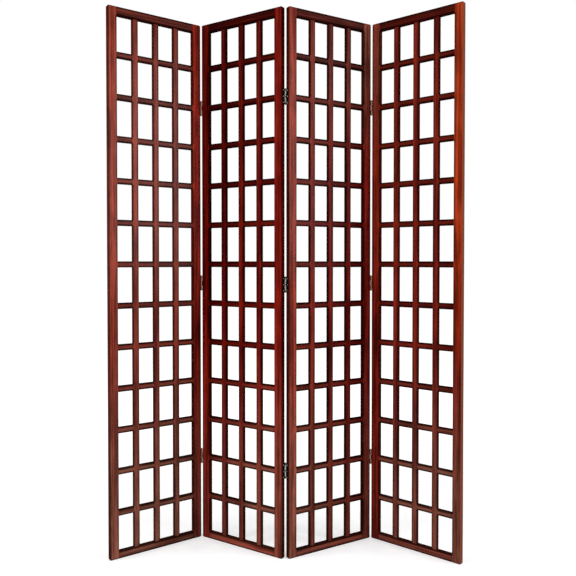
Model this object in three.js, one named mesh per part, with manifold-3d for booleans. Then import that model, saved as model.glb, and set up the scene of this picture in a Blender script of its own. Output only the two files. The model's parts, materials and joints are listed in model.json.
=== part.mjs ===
// Four-panel folding screen: plain mortised frames, an open half-lapped slat grid in each, butt hinges
// between the panels. Millimetres, +Z up, the screen stands on z = 0.
import * as THREE from "three";
import { mergeVertices } from "three/addons/utils/BufferGeometryUtils.js";
import Module from "manifold-3d";

const wasm = await Module();
wasm.setup();

// Panel
const PANEL_W = 330;
const PANEL_H = 1780;
const FRAME_T = 16; // thickness of stiles and rails
const STILE_W = 30;
const RAIL_TOP_H = 28;
const RAIL_BOTTOM_H = 24;
const CORNER_R = 4; // rounding of the outer corners, seen from the front
const EASE = 0.8; // easing of the frame's long edges
const FIT = 0.3; // gap between two wood faces that meet

// Slat grid
const COLUMNS = 4; // openings across a panel
const ROWS = 13; // openings up a panel
const SLAT_W = 20;
const SLAT_T = 11;

// Hidden joints in the wood
const RAIL_TENON_L = 18;
const RAIL_TENON_T = 6;
const RAIL_TENON_SHOULDER = 5; // rail height left above and below its tenon
const SLAT_HOUSING = 8; // how deep a slat's end is let into the frame

// Hinges
const HINGE_H = 51;
const HINGE_INSET = 285; // from a panel's end to the middle of its outermost hinge
const HINGE_LEVELS = ["lower", "middle", "upper"]; // the hinges of one joint, from the floor up
const KNUCKLES = 3;
const KNUCKLE_GAP = 0.4; // between two knuckles along the pin
const BARREL_R = 2.2;
const LEAF_T = 1;
const LEAF_W = 14; // from the pin's axis to the leaf's free edge
const PIN_R = 1.1;
const PIN_CLEARANCE = 0.08;
const PIN_HEAD_H = 1;
const PIN_HEAD_R = 1.9;
const PIN_PROUD = 0.75; // how far the pin's axis stands out in front of the panel's face
const SCREWS_PER_LEAF = 3;
const SCREW_PITCH = 20;
const SCREW_HOLE_R = 1.6;
const SCREW_HEAD_R = 2.5;
const SCREW_FROM_PIN = 8.5; // across the leaf, from the pin's axis to the screws

// Angles of the four panels to the screen's length, as it stands, in degrees
const STAND_ANGLES = [35.2, -32.5, 30.5, -38.8];

const WOOD = new THREE.MeshStandardMaterial({ color: 0x6b2114, roughness: 0.4, metalness: 0 });
const SLAT_WOOD = new THREE.MeshStandardMaterial({ color: 0x64231a, roughness: 0.42, metalness: 0 });
const LEAF_METAL = new THREE.MeshStandardMaterial({ color: 0x9a9088, roughness: 0.4, metalness: 1 });
const PIN_METAL = new THREE.MeshStandardMaterial({ color: 0xa89f96, roughness: 0.35, metalness: 1 });

const BARREL_SIDES = 12;
const HOLE_SIDES = 8;
const CORNER_STEPS = 3;
const PAST = 1; // how far a cutting shape runs past the face it cuts
const KEEP = 1e-3; // vertices nearer than this are one

const HINGE_GAP = 2 * (BARREL_R + FIT); // between the edges of two neighbouring panels
const OPENING_W = (PANEL_W - 2 * STILE_W - (COLUMNS - 1) * SLAT_W) / COLUMNS;
const OPENING_H = (PANEL_H - RAIL_TOP_H - RAIL_BOTTOM_H - (ROWS - 1) * SLAT_W) / ROWS;
const OPENING_TOP = PANEL_H - RAIL_TOP_H;
const COLUMN_PITCH = OPENING_W + SLAT_W;
const ROW_PITCH = OPENING_H + SLAT_W;
const MID_T = FRAME_T / 2;

const range = (n) => Array.from({ length: n }, (_, i) => i);
const uprightX = range(COLUMNS - 1).map((i) => STILE_W + OPENING_W + SLAT_W / 2 + i * COLUMN_PITCH);
const crossZ = range(ROWS - 1).map((i) => RAIL_BOTTOM_H + OPENING_H + SLAT_W / 2 + i * ROW_PITCH);
const hingeZ = HINGE_LEVELS.map(
  (_, i) => HINGE_INSET + (i * (PANEL_H - 2 * HINGE_INSET)) / (HINGE_LEVELS.length - 1),
);

// A three.js geometry as a solid for cutting and joining.
function solid(geometry) {
  const plain = geometry.clone();
  plain.deleteAttribute("normal");
  plain.deleteAttribute("uv");
  const merged = mergeVertices(plain, KEEP);
  return new wasm.Manifold(
    new wasm.Mesh({
      numProp: 3,
      vertProperties: merged.attributes.position.array,
      triVerts: new Uint32Array(merged.index.array),
    }),
  );
}

// A cut or joined solid as flat-shaded three.js geometry.
function geometryOf(body) {
  const mesh = body.getMesh();
  const indexed = new THREE.BufferGeometry();
  indexed.setAttribute("position", new THREE.BufferAttribute(mesh.vertProperties, 3));
  indexed.setIndex(new THREE.BufferAttribute(mesh.triVerts, 1));
  const flat = indexed.toNonIndexed();
  flat.computeVertexNormals();
  return flat;
}

// A box by its two opposite corners.
function box(low, high) {
  const size = high.map((v, i) => v - low[i]);
  const middle = high.map((v, i) => (v + low[i]) / 2);
  return solid(new THREE.BoxGeometry(...size).translate(...middle));
}

// A board standing in a panel's plane, from its front outline in x and z, with eased edges.
function board(outline) {
  const geometry = new THREE.ExtrudeGeometry(outline, {
    depth: FRAME_T - 2 * EASE,
    bevelEnabled: true,
    bevelThickness: EASE,
    bevelSize: EASE,
    bevelOffset: -EASE,
    bevelSegments: 1,
    curveSegments: CORNER_STEPS,
  });
  geometry.rotateX(Math.PI / 2);
  geometry.translate(0, FRAME_T - EASE, 0);
  return solid(geometry);
}

// A stretch of slat, or with room round it the housing that holds its end. `along` is 0 for a cross
// slat and 2 for an upright one; it runs from `from` to `to`, centred on `at` across.
function slat(along, at, from, to, room) {
  const half = SLAT_W / 2 + room;
  const low = [at - half, MID_T - SLAT_T / 2 - room, at - half];
  const high = [at + half, MID_T + SLAT_T / 2 + room, at + half];
  low[along] = from;
  high[along] = to;
  return box(low, high);
}

// The tenons of a rail in one length, or with room round it the mortise that holds one.
function railTenon(bottom, height, from, to, room) {
  return box(
    [from, MID_T - RAIL_TENON_T / 2 - room, bottom + RAIL_TENON_SHOULDER - room],
    [to, MID_T + RAIL_TENON_T / 2 + room, bottom + height - RAIL_TENON_SHOULDER + room],
  );
}

// The left stile; the right one is its mirror image.
function stile() {
  const outline = new THREE.Shape();
  outline.moveTo(CORNER_R, 0);
  outline.lineTo(STILE_W, 0);
  outline.lineTo(STILE_W, PANEL_H);
  outline.lineTo(CORNER_R, PANEL_H);
  outline.absarc(CORNER_R, PANEL_H - CORNER_R, CORNER_R, Math.PI / 2, Math.PI, false);
  outline.lineTo(0, CORNER_R);
  outline.absarc(CORNER_R, CORNER_R, CORNER_R, Math.PI, 1.5 * Math.PI, false);
  let body = board(outline);
  const mouth = STILE_W + PAST;
  const mortiseEnd = STILE_W - RAIL_TENON_L - FIT;
  const housingEnd = STILE_W - SLAT_HOUSING - FIT;
  body = body.subtract(railTenon(0, RAIL_BOTTOM_H, mortiseEnd, mouth, FIT));
  body = body.subtract(railTenon(OPENING_TOP, RAIL_TOP_H, mortiseEnd, mouth, FIT));
  for (const z of crossZ) {
    body = body.subtract(slat(0, z, housingEnd, mouth, FIT));
  }
  return body;
}

// A rail with its tenons; `edge` is the side the slats enter, `away` points from the opening.
function rail(bottom, height, edge, away) {
  const outline = new THREE.Shape();
  const left = STILE_W + FIT;
  const right = PANEL_W - STILE_W - FIT;
  outline.moveTo(left, bottom);
  outline.lineTo(right, bottom);
  outline.lineTo(right, bottom + height);
  outline.lineTo(left, bottom + height);
  let body = board(outline);
  const reach = STILE_W - RAIL_TENON_L;
  body = body.add(railTenon(bottom, height, reach, PANEL_W - reach, 0));
  const ends = [edge - away * PAST, edge + away * (SLAT_HOUSING + FIT)];
  for (const x of uprightX) {
    body = body.subtract(slat(2, x, Math.min(...ends), Math.max(...ends), FIT));
  }
  return body;
}

// The glued grid: upright and cross slats half-lapped flush, their ends reaching into the frame.
function lattice() {
  const bottom = RAIL_BOTTOM_H - SLAT_HOUSING;
  const top = OPENING_TOP + SLAT_HOUSING;
  const left = STILE_W - SLAT_HOUSING;
  const right = PANEL_W - STILE_W + SLAT_HOUSING;
  const uprights = uprightX.map((x) => slat(2, x, bottom, top, 0));
  const crosses = crossZ.map((z) => slat(0, z, left, right, 0));
  return [...uprights, ...crosses].reduce((grid, piece) => grid.add(piece));
}

// A closed turned shape about z from its radius and height pairs.
function turned(profile, sides) {
  const points = profile.map(([r, z]) => new THREE.Vector2(r, z));
  const geometry = new THREE.LatheGeometry([...points, points[0]], sides);
  geometry.rotateX(Math.PI / 2);
  return solid(geometry);
}

const knuckleH = (HINGE_H - (KNUCKLES - 1) * KNUCKLE_GAP) / KNUCKLES;
const knuckleLow = (i) => -HINGE_H / 2 + i * (knuckleH + KNUCKLE_GAP);

// A hinge leaf about its pin's axis. `wood` is the side of the wood it is screwed to, +1 or -1 in x;
// `inward` is the way over the panel's edge, +1 or -1 in y; `own` tells its knuckles from the other's.
function leaf(wood, inward, own) {
  const inner = BARREL_R - LEAF_T;
  const span = (a, b) => [Math.min(a, b), Math.max(a, b)];
  const [x0, x1] = span(wood * inner, wood * BARREL_R);
  const [y0, y1] = span(0, inward * LEAF_W);
  let body = box([x0, y0, -HINGE_H / 2], [x1, y1, HINGE_H / 2]);
  const [cx0, cx1] = span(wood * (inner - PAST), wood * (BARREL_R + PAST));
  const [cy0, cy1] = span(-inward * PAST, inward * (BARREL_R + FIT));
  for (const i of range(KNUCKLES)) {
    const low = knuckleLow(i);
    if (own(i)) {
      const ring = new THREE.CylinderGeometry(BARREL_R, BARREL_R, knuckleH, BARREL_SIDES);
      ring.rotateX(Math.PI / 2);
      body = body.add(solid(ring.translate(0, 0, low + knuckleH / 2)));
    } else {
      const bottom = low - KNUCKLE_GAP;
      body = body.subtract(box([cx0, cy0, bottom], [cx1, cy1, bottom + knuckleH + 2 * KNUCKLE_GAP]));
    }
  }
  const boreR = PIN_R + PIN_CLEARANCE;
  const bore = new THREE.CylinderGeometry(boreR, boreR, HINGE_H + 2 * PAST, BARREL_SIDES);
  bore.rotateX(Math.PI / 2);
  body = body.subtract(solid(bore));
  const sink = SCREW_HEAD_R - SCREW_HOLE_R;
  const hole = turned(
    [
      [0, -PAST],
      [SCREW_HOLE_R, -PAST],
      [SCREW_HOLE_R, LEAF_T - sink],
      [SCREW_HEAD_R, LEAF_T],
      [SCREW_HEAD_R, LEAF_T + PAST],
      [0, LEAF_T + PAST],
    ],
    HOLE_SIDES,
  );
  const across = hole.rotate([0, -wood * 90, 0]);
  for (const i of range(SCREWS_PER_LEAF)) {
    const z = (i - (SCREWS_PER_LEAF - 1) / 2) * SCREW_PITCH;
    body = body.subtract(across.translate([wood * BARREL_R, inward * SCREW_FROM_PIN, z]));
  }
  return body;
}

// The pin with a button head at each end.
function pin() {
  const end = HINGE_H / 2 + FIT;
  const tip = end + PIN_HEAD_H;
  return turned(
    [
      [0, -tip],
      [PIN_HEAD_R, -tip],
      [PIN_HEAD_R, -end],
      [PIN_R, -end],
      [PIN_R, end],
      [PIN_HEAD_R, end],
      [PIN_HEAD_R, tip],
      [0, tip],
    ],
    BARREL_SIDES,
  );
}

function named(name, body, material) {
  const mesh = new THREE.Mesh(geometryOf(body), material);
  mesh.name = name;
  return mesh;
}

const stileBody = stile();
const mirrored = stileBody.mirror([1, 0, 0]).translate([PANEL_W, 0, 0]);
const railTopBody = rail(OPENING_TOP, RAIL_TOP_H, OPENING_TOP, 1);
const railBottomBody = rail(0, RAIL_BOTTOM_H, RAIL_BOTTOM_H, -1);
const latticeBody = lattice();

const screen = new THREE.Group();
screen.name = "screen";
const panels = STAND_ANGLES.map((degrees, i) => {
  const panel = new THREE.Group();
  const label = "panel_" + (i + 1);
  panel.name = label;
  panel.rotation.z = THREE.MathUtils.degToRad(degrees);
  panel.add(named(label + "_stile_left", stileBody, WOOD));
  panel.add(named(label + "_stile_right", mirrored, WOOD));
  panel.add(named(label + "_rail_top", railTopBody, WOOD));
  panel.add(named(label + "_rail_bottom", railBottomBody, WOOD));
  panel.add(named(label + "_lattice", latticeBody, SLAT_WOOD));
  screen.add(panel);
  return panel;
});

// The joints turn by turn: the pins of the first and the last are in front, those of the middle one
// behind, so the screen folds into a zig-zag.
const pinY = (front) => (front ? -PIN_PROUD : FRAME_T + PIN_PROUD);
const isEven = (i) => i % 2 === 0;
const isOdd = (i) => i % 2 === 1;
for (const i of range(panels.length - 1)) {
  const front = isEven(i);
  const inward = front ? 1 : -1;
  const label = "hinge_" + (i + 1) + (i + 2);
  const here = panels[i];
  const next = panels[i + 1];
  const atRight = new THREE.Vector3(PANEL_W + HINGE_GAP / 2, pinY(front), 0);
  const atLeft = new THREE.Vector3(-HINGE_GAP / 2, pinY(front), 0);
  here.updateMatrix();
  const axis = atRight.clone().applyMatrix4(here.matrix);
  next.position.copy(axis.clone().sub(atLeft.clone().applyEuler(next.rotation)));
  const leafA = leaf(-1, inward, isEven);
  const leafB = leaf(1, inward, isOdd);
  hingeZ.forEach((z, k) => {
    const hinge = label + "_" + HINGE_LEVELS[k];
    const meshA = named(hinge + "_leaf_" + (i + 1), leafA, LEAF_METAL);
    const meshB = named(hinge + "_leaf_" + (i + 2), leafB, LEAF_METAL);
    const meshPin = named(hinge + "_pin", pin(), PIN_METAL);
    meshA.position.set(atRight.x, atRight.y, z);
    meshPin.position.set(atRight.x, atRight.y, z);
    meshB.position.set(atLeft.x, atLeft.y, z);
    here.add(meshA, meshPin);
    next.add(meshB);
  });
}

// The middle of the standing screen's box is put over the origin.
const root = new THREE.Group();
root.name = "folding_screen";
root.add(screen);
root.updateMatrixWorld(true);
const bounds = new THREE.Box3().setFromObject(screen, true);
screen.position.set(-(bounds.min.x + bounds.max.x) / 2, -(bounds.min.y + bounds.max.y) / 2, 0);
root.updateMatrixWorld(true);

export default root;
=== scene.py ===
import json
import math
import random

import bmesh
import bpy
from mathutils import Matrix, Vector


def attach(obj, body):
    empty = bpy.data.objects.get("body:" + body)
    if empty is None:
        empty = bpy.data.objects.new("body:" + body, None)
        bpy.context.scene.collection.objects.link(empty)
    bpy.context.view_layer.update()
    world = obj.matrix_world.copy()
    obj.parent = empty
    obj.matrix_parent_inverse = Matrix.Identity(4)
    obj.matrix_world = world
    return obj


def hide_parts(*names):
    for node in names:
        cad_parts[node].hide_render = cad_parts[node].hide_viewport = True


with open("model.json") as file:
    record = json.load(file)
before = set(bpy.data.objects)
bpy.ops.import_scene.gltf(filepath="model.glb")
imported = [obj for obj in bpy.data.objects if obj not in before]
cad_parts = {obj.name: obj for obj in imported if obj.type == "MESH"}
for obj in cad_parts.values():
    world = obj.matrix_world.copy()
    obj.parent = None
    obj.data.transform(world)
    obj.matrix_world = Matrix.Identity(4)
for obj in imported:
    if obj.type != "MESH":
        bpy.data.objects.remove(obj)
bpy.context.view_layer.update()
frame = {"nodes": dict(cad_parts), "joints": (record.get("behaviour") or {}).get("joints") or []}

# Sizes of the screen in metres, the same as the solids have.
PANEL_W = 0.330
PANEL_H = 1.780
FRAME_T = 0.016
STILE_W = 0.030
RAIL_TOP_H = 0.028
RAIL_BOTTOM_H = 0.024
COLUMNS = 4
ROWS = 13
SLAT_W = 0.020
SLAT_T = 0.011
SLAT_HOUSING = 0.008
HINGE_H = 0.051
HINGE_INSET = 0.285
KNUCKLES = 3
KNUCKLE_GAP = 0.0004
BARREL_R = 0.0022
LEAF_T = 0.001
LEAF_W = 0.014
BORE_R = 0.00118
PIN_R = 0.0011
PIN_HEAD_H = 0.001
PIN_HEAD_R = 0.0019
PIN_PROUD = 0.00075
SCREWS_PER_LEAF = 3
SCREW_PITCH = 0.020
SCREW_HOLE_R = 0.0016
SCREW_HEAD_R = 0.0025
SCREW_FROM_PIN = 0.0085
FIT = 0.0003
HINGE_GAP = 2 * (BARREL_R + FIT)
ANGLES = {1: 35.2, 2: -32.5, 3: 30.5, 4: -38.8}
LEVELS = {"lower": HINGE_INSET, "middle": PANEL_H / 2, "upper": PANEL_H - HINGE_INSET}

OPENING_W = (PANEL_W - 2 * STILE_W - (COLUMNS - 1) * SLAT_W) / COLUMNS
OPENING_H = (PANEL_H - RAIL_TOP_H - RAIL_BOTTOM_H - (ROWS - 1) * SLAT_W) / ROWS
UPRIGHT_X = [STILE_W + OPENING_W + SLAT_W / 2 + i * (OPENING_W + SLAT_W) for i in range(COLUMNS - 1)]
CROSS_Z = [RAIL_BOTTOM_H + OPENING_H + SLAT_W / 2 + i * (OPENING_H + SLAT_W) for i in range(ROWS - 1)]

# Each panel's own frame: x across, y from front to back, z up.
pins = {j["name"][-2:]: Vector(j["pos_m"]) for j in frame["joints"]}
LEFT_X = -HINGE_GAP / 2
RIGHT_X = PANEL_W + HINGE_GAP / 2
FRONT_Y = -PIN_PROUD
BACK_Y = FRAME_T + PIN_PROUD
# The pin that places a panel, and where that pin lies in the panel's own frame.
PIN_OF_PANEL = {
    1: ("12", RIGHT_X, FRONT_Y),
    2: ("12", LEFT_X, FRONT_Y),
    3: ("23", LEFT_X, BACK_Y),
    4: ("34", LEFT_X, FRONT_Y),
}


def panel_matrix(n):
    key, x, y = PIN_OF_PANEL[n]
    turn = Matrix.Rotation(math.radians(ANGLES[n]), 4, "Z")
    corner = pins[key] - turn @ Vector((x, y, 0))
    corner.z = 0
    return Matrix.Translation(corner) @ turn


PANEL = {n: panel_matrix(n) for n in PIN_OF_PANEL}


# ---------------------------------------------------------------- camera
# As fitted to the photo: its focal length and optical centre in pixels, its place in metres.
PHOTO_PX = 576
FOCAL_PX = 654.97
CENTRE_PX = (283.72, 273.53)
SENSOR_MM = 36
CAMERA_PITCH = 1.065
CAMERA_HEIGHT = 0.9651
CAMERA_FROM_RIDGE = (-0.0055, -2.1172)

camera = bpy.data.objects.new("camera", bpy.data.cameras.new("camera"))
camera.data.sensor_width = SENSOR_MM
camera.data.lens = FOCAL_PX / PHOTO_PX * SENSOR_MM
camera.data.shift_x = (PHOTO_PX / 2 - CENTRE_PX[0]) / PHOTO_PX
camera.data.shift_y = (CENTRE_PX[1] - PHOTO_PX / 2) / PHOTO_PX
camera.data.clip_start = 0.01
camera.data.clip_end = 200
camera.location = (
    pins["23"].x + CAMERA_FROM_RIDGE[0],
    pins["23"].y + CAMERA_FROM_RIDGE[1],
    CAMERA_HEIGHT,
)
camera.rotation_euler = (math.radians(90 - CAMERA_PITCH), 0, 0)
bpy.context.scene.collection.objects.link(camera)
bpy.context.scene.camera = camera


# ---------------------------------------------------------------- node helper
class Graph:
    """Adds shader nodes to a tree; an input given as a socket is linked, any other value is set."""

    def __init__(self, tree):
        self.tree = tree

    def add(self, kind, inputs=None, **settings):
        node = self.tree.nodes.new(kind)
        for key, value in settings.items():
            setattr(node, key, value)
        for key, value in (inputs or {}).items():
            self.feed(node.inputs[key], value)
        return node

    def feed(self, socket, value):
        if isinstance(value, bpy.types.NodeSocket):
            self.tree.links.new(value, socket)
        else:
            socket.default_value = value

    def math(self, operation, a, b=0.0, clamp=False):
        node = self.add("ShaderNodeMath", {0: a, 1: b}, operation=operation, use_clamp=clamp)
        return node.outputs[0]

    def plus(self, first, *others):
        for other in others:
            first = self.math("ADD", first, other)
        return first

    def minus(self, a, b):
        return self.math("SUBTRACT", a, b)

    def times(self, first, *others):
        for other in others:
            first = self.math("MULTIPLY", first, other)
        return first

    def larger(self, a, b):
        return self.math("MAXIMUM", a, b)

    def vector(self, operation, a, b=(0, 0, 0)):
        return self.add("ShaderNodeVectorMath", {0: a, 1: b}, operation=operation).outputs[0]

    def scaled(self, vector, factor):
        node = self.add("ShaderNodeVectorMath", {0: vector, "Scale": factor}, operation="SCALE")
        return node.outputs[0]

    def parts(self, vector):
        """The outputs X, Y and Z of a vector."""
        return self.add("ShaderNodeSeparateXYZ", {0: vector}).outputs

    def place(self):
        """Where a spot lies on the object at rest."""
        return self.add("ShaderNodeTexCoord").outputs["Object"]

    def noise(self, place, scale, detail=2.0, roughness=0.5, distortion=0.0):
        inputs = {
            "Vector": self.vector("MULTIPLY", place, scale),
            "Scale": 1.0,
            "Detail": detail,
            "Roughness": roughness,
            "Distortion": distortion,
        }
        return self.add("ShaderNodeTexNoise", inputs).outputs["Fac"]

    def change(self, value, low, high, at_low, at_high, shape="LINEAR"):
        inputs = {"Value": value, "From Min": low, "From Max": high, "To Min": at_low, "To Max": at_high}
        return self.add("ShaderNodeMapRange", inputs, interpolation_type=shape).outputs["Result"]

    def fade(self, value, low, high, at_low=0.0, at_high=1.0):
        return self.change(value, low, high, at_low, at_high, "SMOOTHSTEP")

    def ramp(self, value, stops):
        node = self.add("ShaderNodeValToRGB", {"Fac": value})
        elements = node.color_ramp.elements
        while len(elements) < len(stops):
            elements.new(0.5)
        for element, (at, colour) in zip(elements, stops):
            element.position = at
            element.color = (*colour, 1)
        return node.outputs["Color"]

    def mix(self, factor, a, b):
        node = self.add("ShaderNodeMix", {"Factor": factor}, data_type="RGBA")
        first, second = 6, 7  # the node's colour inputs
        for index, value in ((first, a), (second, b)):
            is_colour = not isinstance(value, bpy.types.NodeSocket)
            self.feed(node.inputs[index], (*value, 1) if is_colour else value)
        return node.outputs[2]


def new_material(name):
    material = bpy.data.materials.new(name)
    material.use_nodes = True
    material.node_tree.nodes.clear()
    graph = Graph(material.node_tree)
    output = graph.add("ShaderNodeOutputMaterial")
    return material, graph, output


# ---------------------------------------------------------------- wood
# Its colours, linear. The tone of the grain picks one of the stops, or one between dark and light.
STAIN = (
    (0.34, (0.050, 0.0012, 0.0008)),
    (0.45, (0.150, 0.0034, 0.0018)),
    (0.54, (0.245, 0.0062, 0.0028)),
    (0.66, (0.400, 0.0200, 0.0080)),
)
AMBER = ((0.140, 0.011, 0.002), (0.400, 0.044, 0.008))
# painted sheen: the colour of reflected light, mixed into the stain
PAINTED_SHEEN = ((0.110, 0.032, 0.020), (0.310, 0.106, 0.068))
PORE = (0.03, 0.002, 0.001)
# near black: painted shade on the narrow faces, and the darker lines along the edges and near the ends
SHADE_AND_EDGE_DARK = (0.009, 0.0006, 0.0005)
# a painted highlight along the edge of a stile's outer face, and painted light on that face
PAINTED_HIGHLIGHT_LINE = (0.300, 0.075, 0.038)
PAINTED_LIT_FACE = (0.130, 0.038, 0.020)
RUBBED = (0.20, 0.040, 0.020)

# Where a line along an edge starts to fade and where it ends, in metres from the edge.
EDGE_LINE = (0.0018, 0.0054)
END_LINE = (0.0010, 0.0040)
# how far the painted highlight line and the painted light on an outer face reach
SIDE_FACE = (0.0002, 0.0007)
HIGHLIGHT_REACH = (0.0012, 0.0034)
LIT_FACE_REACH = (0.0001, 0.0004)
ARRIS = (0.0002, 0.0010)
UNEVEN = 0.0016  # how far the grain shifts the dark lines
# Where a slat that crosses another counts as passed, from its middle line.
LAP_EDGE = (SLAT_W / 2 - 0.0015, SLAT_W / 2 + 0.0005)

# How strong the darkening is, from 0 to 1.
SIDE_SHADE_AND_END_DARK = 0.82  # painted shade on the narrow faces, and darker near the ends
EDGE_LINE_DARK = 0.74  # in a line along the edges
CROSS_LINE_DARK = 0.14  # more of it along the edges of pieces across
CORNER_CLEAR = 0.75  # the share of it that is left out where a rail meets a stile

WOOD_VALUES = ("Seed", "Shade", "Tilt", "Sheen", "Low", "High", "Amber", "Joint", "Cross", "Lap", "Bare")
WOOD_RESULTS = {
    "Color": "NodeSocketColor",
    "Roughness": "NodeSocketFloat",
    "Height": "NodeSocketFloat",
    "Lacquer": "NodeSocketFloat",
}


def grain_of(g, place):
    """The grain along x: its streaks, its tone and its pores."""
    drift = g.noise(place, (1.6, 26, 26), 2.0, 0.5, 0.4)
    ribbon = g.noise(place, (2.6, 95, 95), 2.0, 0.5, 0.5)
    streak = g.noise(place, (5.5, 230, 230), 4.0, 0.6, 0.25)
    patch = g.noise(place, (13, 34, 34), 2.0, 0.5)
    fine = g.noise(place, (42, 1500, 1500), 2.0, 0.55)
    tone = g.plus(g.times(drift, 0.28), g.times(ribbon, 0.52), g.times(streak, 0.48), g.times(patch, 0.26))
    return streak, g.minus(tone, 0.27), g.fade(fine, 0.60, 0.70)


def stained(g, given, tone, height):
    """The stain, with painted sheen mixed into its colour."""
    # the red turns amber here and there, less so near the floor
    amber = g.times(given["Amber"], g.fade(height, 0.4, 1.4, 0.2, 1.0))
    colour = g.mix(amber, g.ramp(tone, STAIN), g.mix(g.fade(tone, 0.36, 0.62), *AMBER))
    # painted sheen: a brown haze that stands in for reflected light, all over, near the floor and near the
    # top
    low = g.times(given["Low"], g.fade(height, 0.75, 0.05, 0.0, 0.50))
    low = g.times(low, g.plus(1.0, g.times(given["Cross"], 0.6)))
    high = g.times(given["High"], g.fade(height, 1.25, 1.65, 0.0, 0.42))
    painted_sheen_amount = g.math("ADD", g.plus(g.times(given["Sheen"], 0.41), low), high, clamp=True)
    return g.mix(painted_sheen_amount, colour, g.mix(g.fade(tone, 0.38, 0.62), *PAINTED_SHEEN))


def shade_of(g, given, height):
    """How much painted light and shade the stain takes."""
    # painted shade: pieces across the panel are darker, up high most, and more alike near the floor
    alike = g.times(given["Cross"], g.fade(height, 0.7, 0.1, 0.0, 0.4))
    shade = g.plus(given["Shade"], g.times(alike, g.minus(0.9, given["Shade"])))
    darker = g.times(given["Cross"], g.fade(height, 0.2, 1.2, 0.05, 0.42))
    shade = g.times(shade, g.minus(1.0, darker))
    # painted light: lightest a little above the middle, and some pieces lighter towards one end
    shade = g.times(shade, g.fade(height, 0.55, 1.3, 0.93, 1.20), g.fade(height, 1.45, 1.75, 1.0, 0.84))
    return g.times(shade, g.plus(1.0, g.times(given["Tilt"], g.fade(height, 0.4, 1.4, -1.0, 1.0))))


def darkening_of(g, given, place, inside, streak):
    """How dark the narrow faces are with painted shade and how dark the lines along the edges are, and how
    much painted light an outer face takes.
    """
    uneven = g.times(g.minus(streak, 0.5), UNEVEN)
    narrowed = g.minus(1.0, g.times(given["Cross"], 0.3))
    line = g.fade(g.times(g.plus(inside["Y"], uneven), narrowed), *EDGE_LINE, 1.0, 0.0)
    line = g.times(line, g.plus(EDGE_LINE_DARK, g.times(given["Cross"], CROSS_LINE_DARK)))
    # painted shade on the narrow faces
    side = g.fade(inside["Y"], *SIDE_FACE, SIDE_SHADE_AND_END_DARK, 0.0)
    # little or none where pieces meet flush: at a rail on the inner side of a stile, and where slats cross
    far_side = g.math("GREATER_THAN", g.parts(place)["Y"], 0.0)
    corner = g.times(g.math("LESS_THAN", inside["X"], given["Joint"]), CORNER_CLEAR)
    either_side = g.larger(far_side, g.math("LESS_THAN", given["Joint"], 0.001))
    met = g.times(g.larger(corner, given["Lap"]), either_side)
    # painted light on a stile's outer face, which lifts the painted shade there
    bare = g.times(given["Bare"], g.minus(1.0, far_side))
    across = g.times(g.larger(line, side), g.minus(1.0, g.larger(met, bare)))
    ends = g.fade(g.plus(inside["X"], uneven), *END_LINE, SIDE_SHADE_AND_END_DARK, 0.0)
    return g.larger(across, ends), bare


def edged(g, colour, given, place, streak, rub_noise):
    """The colour darkened (painted shade on the narrow faces, darker lines along the edges), with painted
    light on a stile's outer face and a painted highlight along its edge, and rubbed arrises; and how dark
    the darkening is.
    """
    inside = g.parts(g.vector("SUBTRACT", given["Half"], g.vector("ABSOLUTE", place)))
    darkening, bare = darkening_of(g, given, place, inside, streak)
    colour = g.mix(darkening, colour, SHADE_AND_EDGE_DARK)
    # a painted highlight along the edge of the outer face, then painted light on that face
    colour = g.mix(g.times(bare, g.fade(inside["Y"], *HIGHLIGHT_REACH, 1.0, 0.0)), colour, PAINTED_HIGHLIGHT_LINE)
    colour = g.mix(g.times(bare, g.fade(inside["Y"], *LIT_FACE_REACH, 1.0, 0.0)), colour, PAINTED_LIT_FACE)
    arris = g.times(g.fade(inside["Y"], *ARRIS, 1.0, 0.0), g.fade(inside["Z"], *ARRIS, 1.0, 0.0))
    rub = g.times(arris, g.fade(rub_noise, 0.56, 0.68))
    return g.mix(g.times(rub, 0.35), colour, RUBBED), darkening


def wood_group():
    tree = bpy.data.node_groups.new("lacquered_wood", "ShaderNodeTree")
    for name in ("Place", "Half"):
        tree.interface.new_socket(name, in_out="INPUT", socket_type="NodeSocketVector")
    for name in WOOD_VALUES:
        tree.interface.new_socket(name, in_out="INPUT", socket_type="NodeSocketFloat")
    for name, kind in WOOD_RESULTS.items():
        tree.interface.new_socket(name, in_out="OUTPUT", socket_type=kind)
    g = Graph(tree)
    given = g.add("NodeGroupInput").outputs
    place = given["Place"]
    shifted = g.vector("ADD", place, g.scaled((3.71, 0.61, 1.37), given["Seed"]))
    streak, tone, pore = grain_of(g, shifted)
    height = g.parts(g.place())["Z"]
    colour = stained(g, given, tone, height)
    colour = g.mix(g.times(pore, 0.35), colour, PORE)
    colour = g.scaled(colour, shade_of(g, given, height))
    rub_noise = g.noise(shifted, (28, 60, 60), 3.0)
    colour, darkening = edged(g, colour, given, place, streak, rub_noise)
    roughness = g.plus(g.times(g.noise(shifted, (9, 60, 60), 3.0), 0.16), 0.24)
    roughness = g.plus(roughness, g.times(pore, 0.10))
    lacquer = g.plus(g.times(given["Sheen"], 0.06), 0.04)
    g.add("NodeGroupOutput", {
        "Color": colour,
        "Roughness": roughness,
        "Height": g.minus(g.times(streak, 0.5), g.times(pore, 0.7)),
        "Lacquer": g.times(lacquer, g.minus(1.0, g.times(darkening, 0.95))),
    })
    return tree


WOOD = wood_group()


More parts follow.
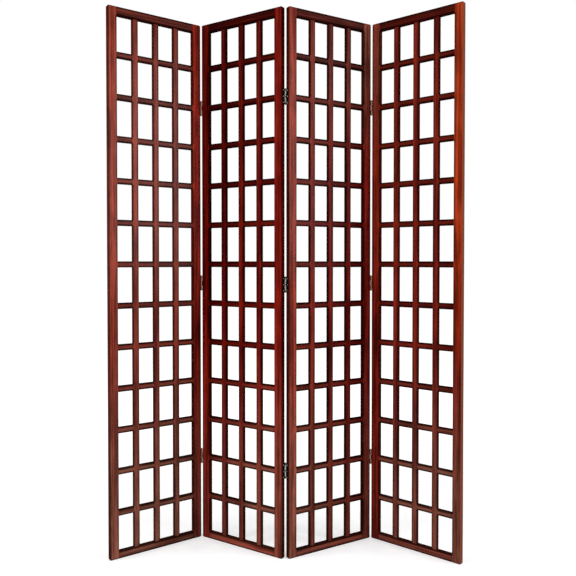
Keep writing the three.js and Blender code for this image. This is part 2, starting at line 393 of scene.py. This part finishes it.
def finish_wood(g, output, **inputs):
    """The shader of a wooden piece; the inputs are those of the wood group, in lower case."""
    group = g.add("ShaderNodeGroup", node_tree=WOOD)
    for name, value in inputs.items():
        g.feed(group.inputs[name.capitalize()], value)
    wood = group.outputs
    bump = g.add("ShaderNodeBump", {"Strength": 0.35, "Distance": 0.0002, "Height": wood["Height"]})
    shader = g.add("ShaderNodeBsdfPrincipled", {
        "Base Color": wood["Color"],
        "Roughness": wood["Roughness"],
        "Normal": bump.outputs[0],
        "Specular IOR Level": 0.0,
        "Coat Weight": wood["Lacquer"],
        "Coat Roughness": 0.24,
        "Coat Normal": bump.outputs[0],
    })
    g.tree.links.new(shader.outputs[0], output.inputs["Surface"])


def spread(g, x, low, high, light_and_tone):
    """Painted light and tone that change evenly from one side of a panel to the other."""
    return {key: g.change(x, low, high, *pair) for key, pair in light_and_tone.items()}


def beside(g, value, first, pitch):
    """1 where an even row of slats passes, 0 between them."""
    from_middle = g.math("PINGPONG", g.minus(value, first), pitch / 2)
    return g.fade(from_middle, *LAP_EDGE, 1.0, 0.0)


def stick_material(name, centre, along, across, half, seed, light_and_tone, joint=0.0, cross=0.0, bare=0.0):
    """Wood of a straight piece that the solids give: its grain runs along it."""
    material, g, output = new_material(name)
    turn = Matrix((along, across, along.cross(across))).transposed().to_euler("XYZ")
    frame_of_stick = {"Vector": g.place(), "Location": centre, "Rotation": turn}
    place = g.add("ShaderNodeMapping", frame_of_stick, vector_type="TEXTURE").outputs[0]
    if cross:
        light_and_tone = spread(g, g.parts(place)["X"], -PANEL_W / 2, PANEL_W / 2, light_and_tone)
        lap = 0.0
    else:
        lap = beside(g, g.parts(g.place())["Z"], CROSS_Z[0], OPENING_H + SLAT_W)
    piece = {"half": half, "seed": seed, "joint": joint, "cross": cross, "bare": bare}
    finish_wood(g, output, place=place, lap=lap, **piece, **light_and_tone)
    return material


def slat_material(name, light_and_tone):
    material, g, output = new_material(name)
    place = g.add("ShaderNodeAttribute", attribute_name="grain", attribute_type="GEOMETRY").outputs["Vector"]
    cross = g.add("ShaderNodeAttribute", attribute_name="cross", attribute_type="GEOMETRY").outputs["Fac"]
    at = g.parts(g.place())
    light_and_tone = spread(g, at["X"], STILE_W, PANEL_W - STILE_W, light_and_tone)
    by_cross = g.times(beside(g, at["Z"], CROSS_Z[0], OPENING_H + SLAT_W), g.minus(1.0, cross))
    by_upright = g.times(beside(g, at["X"], UPRIGHT_X[0], OPENING_W + SLAT_W), cross)
    endless = 100.0  # no dark line at a slat's ends, which lie in the frame
    piece = {"place": place, "half": (endless, SLAT_W / 2, SLAT_T / 2), "cross": cross}
    finish_wood(g, output, lap=g.plus(by_cross, by_upright), **piece, **light_and_tone)
    return material


# Each panel's painted light and tone: its painted shade, lighter on ridges than in valleys, how much
# lighter that gets upwards, its painted sheen (also a little real gloss) all over, near the floor and
# near the top, and how amber the red is; each for the left stile, the grid at its left and right ends
# and the right stile.
LIGHT_AND_TONE = {
    1: {"shade": (1.20, 0.95, 0.92, 1.20), "tilt": (0.0, 0.0, 0.0, 0.35), "sheen": (0.9, 1.0, 0.9, 0.2),
        "low": (1.2, 1.0, 1.0, 0.9), "high": (0.0, 0.0, 0.0, 0.0), "amber": (0.3, 0.2, 0.2, 0.2)},
    2: {"shade": (0.72, 0.40, 0.75, 0.85), "tilt": (-0.4, -0.35, -0.3, -0.2), "sheen": (0.0, 0.0, 0.1, 0.1),
        "low": (0.5, 0.8, 1.5, 1.2), "high": (0.0, 0.0, 0.0, 0.0), "amber": (0.0, 0.0, 0.1, 0.0)},
    3: {"shade": (1.15, 0.80, 0.45, 0.88), "tilt": (0.0, 0.0, 0.1, 0.1), "sheen": (0.8, 0.6, 0.0, 0.2),
        "low": (1.1, 1.1, 0.5, 1.0), "high": (0.0, 0.1, 1.4, 1.6), "amber": (0.2, 0.1, 0.0, 0.0)},
    4: {"shade": (0.95, 0.85, 0.66, 1.12), "tilt": (0.0, -0.1, -0.1, 0.3), "sheen": (0.2, 0.3, 0.3, 0.1),
        "low": (0.2, 1.1, 1.6, 1.8), "high": (0.9, 0.0, 0.1, 0.1), "amber": (0.3, 0.2, 0.2, 1.0)},
}
LEFT_STILE, GRID, RIGHT_STILE = 0, slice(1, 3), 3
# The bottom rails take an even painted shade and painted sheen near the floor.
BOTTOM_RAIL = {"shade": (0.95, 0.95), "low": (0.7, 0.7)}
LIT_SIDE_STILE = {"panel_4_stile_right": 0.85}  # its outer face takes painted light and a painted highlight along its edge


def light_and_tone_at(n, place):
    return {key: values[place] for key, values in LIGHT_AND_TONE[n].items()}


def dress_stick(node, *about, **more):
    """Gives one of the frame's solids its own wood."""
    materials = frame["nodes"][node].data.materials
    materials.clear()
    materials.append(stick_material(node, *about, **more))


def dress_frame(n, matrix):
    """The wood of a panel's two stiles and two rails."""
    across, up = matrix.to_3x3() @ Vector((1, 0, 0)), Vector((0, 0, 1))
    stiles = {
        "left": (STILE_W / 2, across, LEFT_STILE),
        "right": (PANEL_W - STILE_W / 2, -across, RIGHT_STILE),
    }
    for side, (x, inward, end) in stiles.items():
        node = f"panel_{n}_stile_{side}"
        centre = matrix @ Vector((x, FRAME_T / 2, PANEL_H / 2))
        half = (PANEL_H / 2, STILE_W / 2, FRAME_T / 2)
        bare = LIT_SIDE_STILE.get(node, 0.0)
        seed = 2 * n + end
        dress_stick(node, centre, up, inward, half, seed, light_and_tone_at(n, end), joint=RAIL_TOP_H, bare=bare)
    rails = {
        "top": (PANEL_H - RAIL_TOP_H / 2, RAIL_TOP_H, {}),
        "bottom": (RAIL_BOTTOM_H / 2, RAIL_BOTTOM_H, BOTTOM_RAIL),
    }
    for level, (z, high, own) in rails.items():
        centre = matrix @ Vector((PANEL_W / 2, FRAME_T / 2, z))
        half = (PANEL_W, high / 2, FRAME_T / 2)  # longer than the rail, so it has no dark line at its ends
        seed = 20 + 2 * n + (level == "top")
        light_and_tone = light_and_tone_at(n, GRID) | own
        dress_stick(f"panel_{n}_rail_{level}", centre, across, up, half, seed, light_and_tone, cross=1.0)


for n, matrix in PANEL.items():
    dress_frame(n, matrix)


# ---------------------------------------------------------------- slats
LAP_FIT = 0.00005  # between two slats where they cross
SLAT_EASE = 0.0007
SAME = 1e-7  # two coordinates nearer than this count as one


def bar(length, notches, notch_front):
    """A slat along x with its lap notches cut, as a bmesh. y is across, z from front to back."""
    half_w, half_t = SLAT_W / 2, SLAT_T / 2
    side = -1 if notch_front else 1
    points = [(-length / 2, -side * half_t), (length / 2, -side * half_t), (length / 2, side * half_t)]
    for at in sorted(notches, reverse=True):
        low, high = at - half_w - LAP_FIT, at + half_w + LAP_FIT
        floor = -side * LAP_FIT
        points += [(high, side * half_t), (high, floor), (low, floor), (low, side * half_t)]
    points.append((-length / 2, side * half_t))
    bm = bmesh.new()
    rings = [[bm.verts.new((x, y, z)) for x, z in points] for y in (-half_w, half_w)]
    for i in range(len(points)):
        j = (i + 1) % len(points)
        bm.faces.new((rings[0][i], rings[0][j], rings[1][j], rings[1][i]))
    bm.faces.new(rings[0])
    bm.faces.new(rings[1])
    bmesh.ops.recalc_face_normals(bm, faces=bm.faces)

    def is_long_arris(edge):
        a, b = (v.co for v in edge.verts)
        return abs(a.y - b.y) < SAME and abs(a.z - b.z) < SAME and abs(abs(a.z) - half_t) < SAME

    arrises = [e for e in bm.edges if is_long_arris(e)]
    bmesh.ops.bevel(
        bm, geom=arrises, offset=SLAT_EASE, segments=2, profile=0.5, affect="EDGES", clamp_overlap=True)
    return bm


def sticks_of_grid():
    """For each slat its length, where its notches lie, whether these are in front, and its place."""
    bottom, top = RAIL_BOTTOM_H - SLAT_HOUSING, PANEL_H - RAIL_TOP_H + SLAT_HOUSING
    left, right = STILE_W - SLAT_HOUSING, PANEL_W - STILE_W + SLAT_HOUSING
    mid_z, mid_x = (bottom + top) / 2, (left + right) / 2
    upright = Matrix(((0, 1, 0, 0), (0, 0, 1, FRAME_T / 2), (1, 0, 0, mid_z), (0, 0, 0, 1)))
    cross = Matrix(((1, 0, 0, mid_x), (0, 0, 1, FRAME_T / 2), (0, 1, 0, 0), (0, 0, 0, 1)))
    sticks = []
    for x in UPRIGHT_X:
        place = Matrix.Translation((x, 0, 0)) @ upright
        sticks.append((top - bottom, [z - mid_z for z in CROSS_Z], False, place))
    for z in CROSS_Z:
        place = Matrix.Translation((0, 0, z)) @ cross
        sticks.append((right - left, [x - mid_x for x in UPRIGHT_X], True, place))
    return sticks


def slats_of(n, material):
    """All the slats of a panel's grid as one piece: half-lapped flush, the upright ones whole in front."""
    rng = random.Random(100 + n)
    vertices, faces, grain, crossing = [], [], [], []
    for length, notches, front, place in sticks_of_grid():
        bm = bar(length, notches, front)
        first = len(vertices)
        offset = 10 * rng.random() + 3
        bm.verts.index_update()
        flip = place.to_3x3().determinant() < 0
        for v in bm.verts:
            vertices.append(place @ v.co)
            grain.append((v.co.x + offset, v.co.y, v.co.z))
            crossing.append(float(front))
        for f in bm.faces:
            loop = [first + v.index for v in f.verts]
            faces.append(loop[::-1] if flip else loop)
        bm.free()
    mesh = bpy.data.meshes.new(f"panel_{n}_slats")
    mesh.from_pydata(vertices, [], faces)
    flat_grain = [c for v in grain for c in v]
    mesh.attributes.new("grain", "FLOAT_VECTOR", "POINT").data.foreach_set("vector", flat_grain)
    mesh.attributes.new("cross", "FLOAT", "POINT").data.foreach_set("value", crossing)
    mesh.materials.append(material)
    piece = bpy.data.objects.new(f"panel_{n}_slats", mesh)
    piece.matrix_world = PANEL[n]
    bpy.context.scene.collection.objects.link(piece)
    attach(piece, f"panel_{n}")
    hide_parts(f"panel_{n}_lattice")


for n in PANEL:
    slats_of(n, slat_material(f"panel_{n}_slats", light_and_tone_at(n, GRID)))


# ---------------------------------------------------------------- metal
def painted_shade_and_highlights(g, colour, dark, place, cloud):
    """Painted shade: the colour turned near black on the plate, and on the barrel but for two stretches left
    bright as painted highlights.
    """
    parts = g.parts(place)
    from_pin = g.math("SQRT", g.plus(g.math("POWER", parts["X"], 2.0), g.math("POWER", parts["Y"], 2.0)))
    plate = g.fade(from_pin, BARREL_R + 0.0001, BARREL_R + 0.0006)
    # two painted highlights on the barrel, a fifth of the hinge above and below its middle
    from_spot = g.math("ABSOLUTE", g.minus(g.math("ABSOLUTE", parts["Z"]), HINGE_H / 5))
    off_highlight = g.fade(from_spot, HINGE_H / 7, HINGE_H / 5.5, 0.0, 0.85)
    shade_mask = g.larger(plate, off_highlight)
    return g.mix(g.times(shade_mask, g.fade(cloud, 0.15, 0.55, 0.9, 1.0)), colour, dark)


def metal_material(name, bright, dark, roughness, with_painted_shade=False):
    """Metal with a brushed grain and darker clouds; one asked for it also takes painted shade on its plate
    and two painted highlights on its barrel.
    """
    material, g, output = new_material(name)
    place = g.place()
    brushed = g.noise(place, (900, 900, 90), 3.0, 0.6)
    cloud = g.noise(place, (180, 180, 120), 3.0, 0.6)
    colour = g.mix(brushed, [c * 0.82 for c in bright], bright)
    colour = g.mix(g.fade(cloud, 0.55, 0.8, 0.0, 0.35), colour, dark)
    if with_painted_shade:
        colour = painted_shade_and_highlights(g, colour, dark, place, cloud)
    bump = g.add("ShaderNodeBump", {"Strength": 0.25, "Distance": 0.0001, "Height": brushed})
    shader = g.add("ShaderNodeBsdfPrincipled", {
        "Base Color": colour,
        "Roughness": g.plus(g.times(brushed, 0.14), roughness),
        "Metallic": 1.0,
        "Normal": bump.outputs[0],
    })
    g.tree.links.new(shader.outputs[0], output.inputs["Surface"])
    return material


# Near black: darker clouds in the metal, and painted shade on the leaves of the hinges at the ridge.
PATINA_AND_SHADE = (0.0035, 0.0030, 0.0028)
# The leaves of the hinges in the valleys are tinted red-brown, a painted reflection of the wood around them.
WOOD_REFLECTED_METAL = metal_material("leaf_wood_reflection", (0.34, 0.15, 0.11), (0.10, 0.035, 0.025), 0.30)
NICKEL = metal_material("leaf_nickel", (0.62, 0.57, 0.52), PATINA_AND_SHADE, 0.16, with_painted_shade=True)
LEAF_METAL = {"12": WOOD_REFLECTED_METAL, "23": NICKEL, "34": WOOD_REFLECTED_METAL}
PIN_METAL = metal_material("pin_nickel", (0.10, 0.085, 0.075), (0.04, 0.034, 0.030), 0.30)
SCREW_METAL = metal_material("screw_nickel", (0.85, 0.72, 0.60), (0.45, 0.36, 0.29), 0.28)


# ---------------------------------------------------------------- shapes of the hinges
WELD = 0.000002  # points nearer than this become one


def mesh_of(bm, name):
    mesh = bpy.data.meshes.new(name)
    bm.to_mesh(mesh)
    bm.free()
    return mesh


def cut(base, tools, operation):
    """The base mesh with each tool mesh joined or cut away, and no slivers left."""
    body = bpy.data.objects.new("body", base)
    bpy.context.scene.collection.objects.link(body)
    helpers = []
    for tool in tools:
        helper = bpy.data.objects.new("tool", tool)
        bpy.context.scene.collection.objects.link(helper)
        modifier = body.modifiers.new("cut", "BOOLEAN")
        modifier.operation = operation
        modifier.solver = "MANIFOLD"
        modifier.object = helper
        helpers.append(helper)
    result = bpy.data.meshes.new_from_object(body.evaluated_get(bpy.context.evaluated_depsgraph_get()))
    for o in (body, *helpers):
        bpy.data.objects.remove(o)
    bm = bmesh.new()
    bm.from_mesh(result)
    bmesh.ops.remove_doubles(bm, verts=bm.verts, dist=WELD)
    bmesh.ops.dissolve_degenerate(bm, edges=bm.edges, dist=WELD)
    bm.to_mesh(result)
    bm.free()
    return result


def lathe(profile, sides):
    """A closed turned bmesh about z, from radius and height pairs that start and end on the axis."""
    bm = bmesh.new()
    turn = [2 * math.pi * i / sides for i in range(sides)]
    rings = []
    for r, z in profile:
        if r == 0:
            rings.append([bm.verts.new((0, 0, z))])
        else:
            rings.append([bm.verts.new((r * math.cos(a), r * math.sin(a), z)) for a in turn])
    for low, high in zip(rings, rings[1:]):
        for i in range(sides):
            j = (i + 1) % sides
            corners = [low[i % len(low)], low[j % len(low)], high[j % len(high)], high[i % len(high)]]
            unique = list(dict.fromkeys(corners))
            if len(unique) > 2:
                bm.faces.new(unique)
    bmesh.ops.recalc_face_normals(bm, faces=bm.faces)
    return bm


def block(low, high, round_yz=0.0, ease=0.0):
    """A box by two corners; round_yz rounds its four edges along x, ease then softens all its edges."""
    bm = bmesh.new()
    bmesh.ops.create_cube(bm, size=1)
    low, high = [min(a, b) for a, b in zip(low, high)], [max(a, b) for a, b in zip(low, high)]
    for v in bm.verts:
        v.co = Vector([h if c > 0 else l for c, l, h in zip(v.co, low, high)])
    if round_yz:
        edges = [e for e in bm.edges if abs(e.verts[0].co.x - e.verts[1].co.x) > 10 * SAME]
        bmesh.ops.bevel(bm, geom=edges, offset=round_yz, segments=5, profile=0.5, affect="EDGES")
    if ease:
        sharp = [e for e in bm.edges if e.calc_face_angle(0) > 1.0]
        bmesh.ops.bevel(bm, geom=sharp, offset=ease, segments=2, profile=0.5, affect="EDGES")
    return bm


KNUCKLE_H = (HINGE_H - (KNUCKLES - 1) * KNUCKLE_GAP) / KNUCKLES
LEAF_CORNER_R = 0.0012
LEAF_EASE = 0.00012
RING_EASE = 0.0003
RING_BACK = 0.00002  # a knuckle's ends lie this far inside the plate's, so that no two faces coincide
PAST = 0.001  # how far a cutting tool reaches past what it cuts
BARREL_SIDES = 40
HOLE_SIDES = 24
SMALL_SIDES = 32
SCREW_Z = [(i - (SCREWS_PER_LEAF - 1) / 2) * SCREW_PITCH for i in range(SCREWS_PER_LEAF)]
SCREW_L = 0.009
SCREW_SHANK_R = 0.0013
SCREW_TIP_R = 0.0005
SCREW_TAPER = 0.003  # the length over which the shank narrows to the tip
RECESS = (0.0015, 0.00032, 0.0010)  # half the length and width of one arm of the cross, and its depth
RECESS_TAPER = 0.35  # the length of an arm at its bottom, as a share of that at its top


def knuckle(low):
    bottom, top = low + RING_BACK, low + KNUCKLE_H - RING_BACK
    profile = [(0, bottom), (BARREL_R - RING_EASE, bottom), (BARREL_R, bottom + RING_EASE),
               (BARREL_R, top - RING_EASE), (BARREL_R - RING_EASE, top), (0, top)]
    return mesh_of(lathe(profile, BARREL_SIDES), "ring")


def facing_out(wood):
    """Turns z to point out of the stile that a leaf lies on, as a screw's head does."""
    return Matrix.Rotation(-wood * math.pi / 2, 4, "Y")


def screw_hole(wood, inward, z):
    """A countersunk hole's cutting tool, on a leaf's plate."""
    sink = SCREW_HEAD_R - SCREW_HOLE_R
    profile = [(0, -PAST), (SCREW_HOLE_R, -PAST), (SCREW_HOLE_R, LEAF_T - sink), (SCREW_HEAD_R, LEAF_T),
               (SCREW_HEAD_R, LEAF_T + PAST), (0, LEAF_T + PAST)]
    hole = lathe(profile, HOLE_SIDES)
    spot = Matrix.Translation((wood * BARREL_R, inward * SCREW_FROM_PIN, z))
    hole.transform(spot @ facing_out(wood))
    return mesh_of(hole, "hole")


def leaf_mesh(wood, inward, own):
    """A hinge leaf about its pin, as the solid is, with a round rolled barrel and eased plate."""
    inner = BARREL_R - LEAF_T
    low_corner = (wood * inner, 0, -HINGE_H / 2)
    high_corner = (wood * BARREL_R, inward * LEAF_W, HINGE_H / 2)
    plate = mesh_of(block(low_corner, high_corner, LEAF_CORNER_R, LEAF_EASE), "plate")
    rings, cuts = [], []
    lows = [-HINGE_H / 2 + i * (KNUCKLE_H + KNUCKLE_GAP) for i in range(-1, KNUCKLES + 1)]
    for i in range(KNUCKLES):
        below, low, above = lows[i:i + 3]
        if i % 2 == own:
            rings.append(knuckle(low))
        else:
            notch_low = (wood * (inner - PAST), -inward * PAST, below + KNUCKLE_H)
            notch_high = (wood * (BARREL_R + PAST), inward * (BARREL_R + FIT), above)
            cuts.append(mesh_of(block(notch_low, notch_high), "notch"))
    body = cut(plate, cuts, "DIFFERENCE")
    body = cut(body, rings, "UNION")
    bore = [(0, -HINGE_H), (BORE_R, -HINGE_H), (BORE_R, HINGE_H), (0, HINGE_H)]
    holes = [mesh_of(lathe(bore, BARREL_SIDES), "bore")]
    holes += [screw_hole(wood, inward, z) for z in SCREW_Z]
    return cut(body, holes, "DIFFERENCE")


def pin_mesh():
    """A pin along z with a domed head at both ends."""
    end = HINGE_H / 2 + FIT
    tip = end + PIN_HEAD_H
    r = PIN_HEAD_R
    rim = 0.0004  # the straight edge of a head
    dome = [(r, end), (r, end + rim), (r * 0.86, tip - rim / 2), (r * 0.5, tip - rim / 10), (0, tip)]
    profile = [(a, -z) for a, z in reversed(dome)] + [(PIN_R, -end), (PIN_R, end)] + dome
    return mesh_of(lathe(profile, SMALL_SIDES), "pin")


def screw_mesh():
    """A countersunk screw along z, its head's face near z = 0, with a cross recess."""
    r = SCREW_HEAD_R - LEAF_EASE
    neck = -LEAF_EASE - (r - SCREW_SHANK_R)  # a cone of 45 degrees
    shank = [(0, -SCREW_L), (SCREW_TIP_R, SCREW_TIP_R - SCREW_L), (SCREW_SHANK_R, SCREW_TAPER - SCREW_L)]
    head = [(SCREW_SHANK_R, neck), (r, -LEAF_EASE), (r, -0.00004)]
    crown = [(r * 0.8, 0.00006), (r * 0.4, 0.00013), (0, 0.00016)]
    profile = shank + head + crown
    arms = []
    for a in (0, math.pi / 2):
        arm = block([-c for c in RECESS], RECESS)
        for v in arm.verts:
            if v.co.z < 0:
                v.co.x *= RECESS_TAPER
        arm.transform(Matrix.Rotation(a, 4, "Z"))
        arms.append(mesh_of(arm, "arm"))
    return cut(mesh_of(lathe(profile, SMALL_SIDES), "screw"), arms, "DIFFERENCE")


def softened(mesh, angle=35):
    mesh.shade_smooth()
    mesh.set_sharp_from_angle(angle=math.radians(angle))
    return mesh


# ---------------------------------------------------------------- hinges
def place_piece(name, mesh, matrix, body, material, replaces=()):
    mesh = mesh.copy()
    mesh.name = name
    mesh.materials.clear()
    mesh.materials.append(material)
    piece = bpy.data.objects.new(name, mesh)
    piece.matrix_world = matrix
    bpy.context.scene.collection.objects.link(piece)
    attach(piece, body)
    if replaces:
        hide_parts(*replaces)


screw = softened(screw_mesh())
pin = softened(pin_mesh())
leaves = {}
for wood in (-1, 1):
    for inward in (-1, 1):
        leaves[wood, inward] = softened(leaf_mesh(wood, inward, 0 if wood < 0 else 1))

rng = random.Random(7)


def place_leaf(node, panel, key, wood, inward, place):
    """A leaf with its screws, on a panel to the left (-1) or right (1) of the pin."""
    body = f"panel_{panel}"
    place_piece(f"{node}_rolled", leaves[wood, inward], place, body, LEAF_METAL[key], (node,))
    for i, z in enumerate(SCREW_Z):
        spot = Matrix.Translation((wood * (BARREL_R - LEAF_T), inward * SCREW_FROM_PIN, z))
        turn = facing_out(wood) @ Matrix.Rotation(rng.uniform(0, math.pi), 4, "Z")
        place_piece(f"{node}_screw_{i + 1}", screw, place @ spot @ turn, body, SCREW_METAL)


for key in pins:
    left, right = int(key[0]), int(key[1])
    inward, y = (-1, BACK_Y) if key == "23" else (1, FRONT_Y)
    for level, z in LEVELS.items():
        hinge = f"hinge_{key}_{level}"
        for panel, wood, x in ((left, -1, RIGHT_X), (right, 1, LEFT_X)):
            place = PANEL[panel] @ Matrix.Translation((x, y, z))
            place_leaf(f"{hinge}_leaf_{panel}", panel, key, wood, inward, place)
        node = f"{hinge}_pin"
        place = PANEL[left] @ Matrix.Translation((RIGHT_X, y, z))
        place_piece(f"{node}_turned", pin, place, f"panel_{left}", PIN_METAL, (node,))


# ---------------------------------------------------------------- floor, light
def seen(g, shown, otherwise):
    """One value for rays that show the background, another for the rest."""
    path = g.add("ShaderNodeLightPath").outputs
    direct = g.larger(path["Is Camera Ray"], g.larger(path["Is Glossy Ray"], path["Is Transmission Ray"]))
    return g.plus(g.times(direct, shown - otherwise), otherwise)


def floor_material():
    """A pale floor that takes soft shadows near the screen and is as bright as the backdrop far away."""
    material, g, output = new_material("floor")
    place = g.place()
    away = g.add("ShaderNodeVectorMath", {0: place}, operation="LENGTH").outputs["Value"]
    far = g.fade(away, 0.7, 2.4)
    near_colour = g.mix(g.noise(place, (3, 3, 3), 3.0), (0.66, 0.66, 0.66), (0.69, 0.69, 0.69))
    glow = g.times(seen(g, 1.0, 0.0), g.plus(g.times(far, 0.48), 0.50))
    diffuse = g.add("ShaderNodeBsdfDiffuse", {"Color": g.mix(far, near_colour, (0.30, 0.30, 0.30))})
    light = g.add("ShaderNodeEmission", {"Color": (1, 1, 1, 1), "Strength": glow})
    total = g.add("ShaderNodeAddShader", {0: diffuse.outputs[0], 1: light.outputs[0]})
    g.tree.links.new(total.outputs[0], output.inputs["Surface"])
    return material


bm = bmesh.new()
bmesh.ops.create_grid(bm, x_segments=8, y_segments=8, size=40)
floor = bpy.data.objects.new("floor", mesh_of(bm, "floor"))
floor.data.materials.append(floor_material())
bpy.context.scene.collection.objects.link(floor)

world = bpy.data.worlds.new("studio")
bpy.context.scene.world = world
world.use_nodes = True
world.node_tree.nodes.clear()
g = Graph(world.node_tree)
background = g.add("ShaderNodeBackground", {"Color": (1, 1, 1, 1), "Strength": seen(g, 1.0, 0.22)})
g.tree.links.new(background.outputs[0], g.add("ShaderNodeOutputWorld").inputs["Surface"])

AIM = Vector((0, 0, 0.9))


def softbox(name, place, size, radiance, in_gloss=False):
    data = bpy.data.lights.new(name, "AREA")
    data.shape = "RECTANGLE"
    data.size, data.size_y = size
    data.energy = radiance * math.pi * size[0] * size[1]
    light = bpy.data.objects.new(name, data)
    light.location = place
    light.rotation_euler = (AIM - Vector(place)).to_track_quat("-Z", "Y").to_euler()
    light.visible_camera = False
    light.visible_glossy = in_gloss
    bpy.context.scene.collection.objects.link(light)


softbox("key_right", (2.9, -1.9, 1.8), (1.2, 1.8), 9.0, in_gloss=True)
softbox("key_left", (-2.9, -1.9, 1.8), (1.2, 1.8), 9.0)
softbox("side_right", (3.3, -0.75, 1.6), (0.8, 2.4), 7.0)
softbox("side_left", (-3.3, -0.75, 1.6), (0.8, 2.4), 7.0)
softbox("back", (0.0, 3.2, 1.9), (2.6, 1.8), 2.5)

bpy.context.scene.view_settings.view_transform = "Standard"
